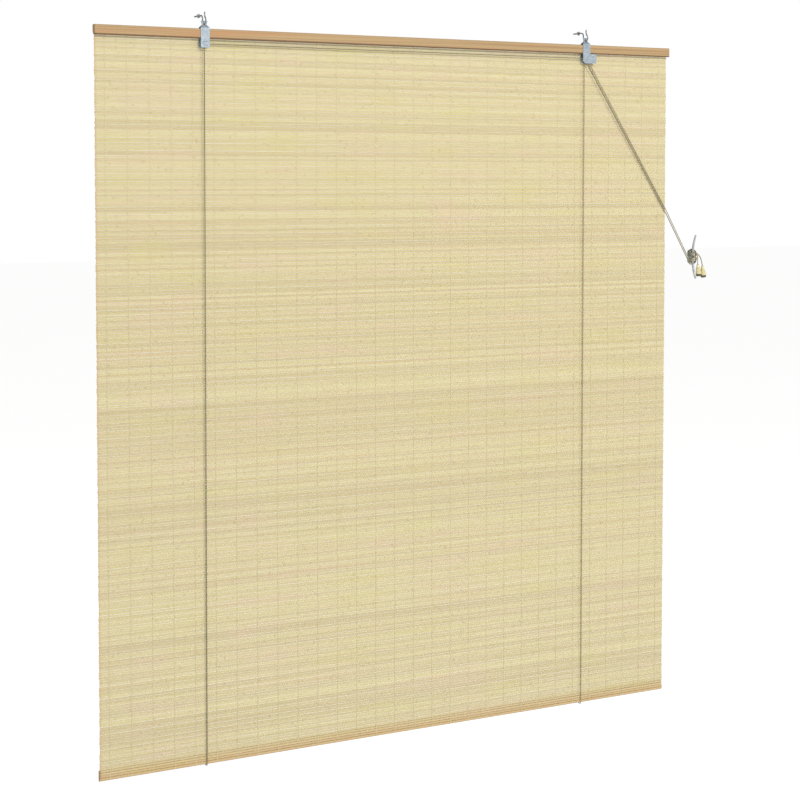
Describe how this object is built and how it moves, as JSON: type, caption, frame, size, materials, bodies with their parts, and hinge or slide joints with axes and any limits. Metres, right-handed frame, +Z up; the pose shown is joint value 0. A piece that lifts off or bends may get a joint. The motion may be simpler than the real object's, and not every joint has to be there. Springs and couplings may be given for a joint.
{
  "type": "bamboo roll up blind",
  "caption": "Roll-up blind of thin bamboo slats hung from two screw hooks, with lift cords, wheels, a cord lock and a wall cleat.",
  "frame": {"origin": "midway between the two hook screws, on the wall face, at the height of their shanks", "axes": "+Z up, +Y into the wall, +X along the head rail to the right as seen from the room"},
  "size_m": [1.6284, 0.0596, 1.639],
  "materials": {
    "rail_wood": "planed light brown wood, plain",
    "batten_wood": "planed pale wood",
    "bamboo": "split bamboo, natural, satin",
    "thread": "twisted cotton thread",
    "cord": "braided olive-beige cord",
    "steel_zinc": "galvanised sheet steel",
    "steel_bright": "bright steel rivet",
    "hook_metal": "plated steel wire",
    "cleat_metal": "polished cast light metal",
    "wheel_plastic": "off-white moulded plastic",
    "tassel_wood": "turned pale wood, waxed"
  },
  "bodies": {
    "blind": {"head_rail": "rail_wood", "back_batten": "batten_wood", "bottom_batten": "batten_wood", "batten_nails": "steel_zinc", "bamboo_slats": "bamboo", "front_threads": "thread", "back_threads": "thread", "left_bracket": "steel_zinc", "lock_bracket": "steel_zinc", "left_bracket_rivet": "steel_bright", "left_wheel_axle": "steel_bright", "lock_front_axle": "steel_bright", "lock_rear_axle": "steel_bright", "cam_pivot": "steel_bright", "left_hook": "hook_metal", "right_hook": "hook_metal", "left_cord_eye": "hook_metal", "right_cord_eye": "hook_metal", "left_lift_cord": "cord", "right_lift_cord": "cord", "wall_cleat": "cleat_metal", "cord_winding": "cord", "tassel_1": "tassel_wood", "tassel_2": "tassel_wood", "tassel_tail_1": "cord", "tassel_tail_2": "cord"},
    "left_pulley": {"left_wheel": "wheel_plastic"},
    "front_pulley": {"lock_front_wheel": "wheel_plastic"},
    "rear_pulley": {"lock_rear_wheel": "wheel_plastic"},
    "cam": {"cord_cam": "steel_zinc"}
  },
  "joints": [
    {"name": "left_wheel_spin", "type": "hinge", "parent": "blind", "child": "left_pulley", "pos_m": [-0.4965, -0.0296, -0.065], "axis": [0, 1, 0], "continuous": true},
    {"name": "lock_front_wheel_spin", "type": "hinge", "parent": "blind", "child": "front_pulley", "pos_m": [0.493, -0.03173, -0.065], "axis": [0, 1, 0], "continuous": true},
    {"name": "lock_rear_wheel_spin", "type": "hinge", "parent": "blind", "child": "rear_pulley", "pos_m": [0.502, -0.02747, -0.0627], "axis": [0, 1, 0], "continuous": true},
    {"name": "cord_cam_swing", "type": "hinge", "parent": "blind", "child": "cam", "pos_m": [0.518, -0.0296, -0.056], "axis": [0, -1, 0], "range_deg": [0, 20]}
  ],
  "couplings": [
    {"joint": "lock_front_wheel_spin", "follows": "left_wheel_spin", "ratio": 1},
    {"joint": "lock_rear_wheel_spin", "follows": "left_wheel_spin", "ratio": 1}
  ]
}
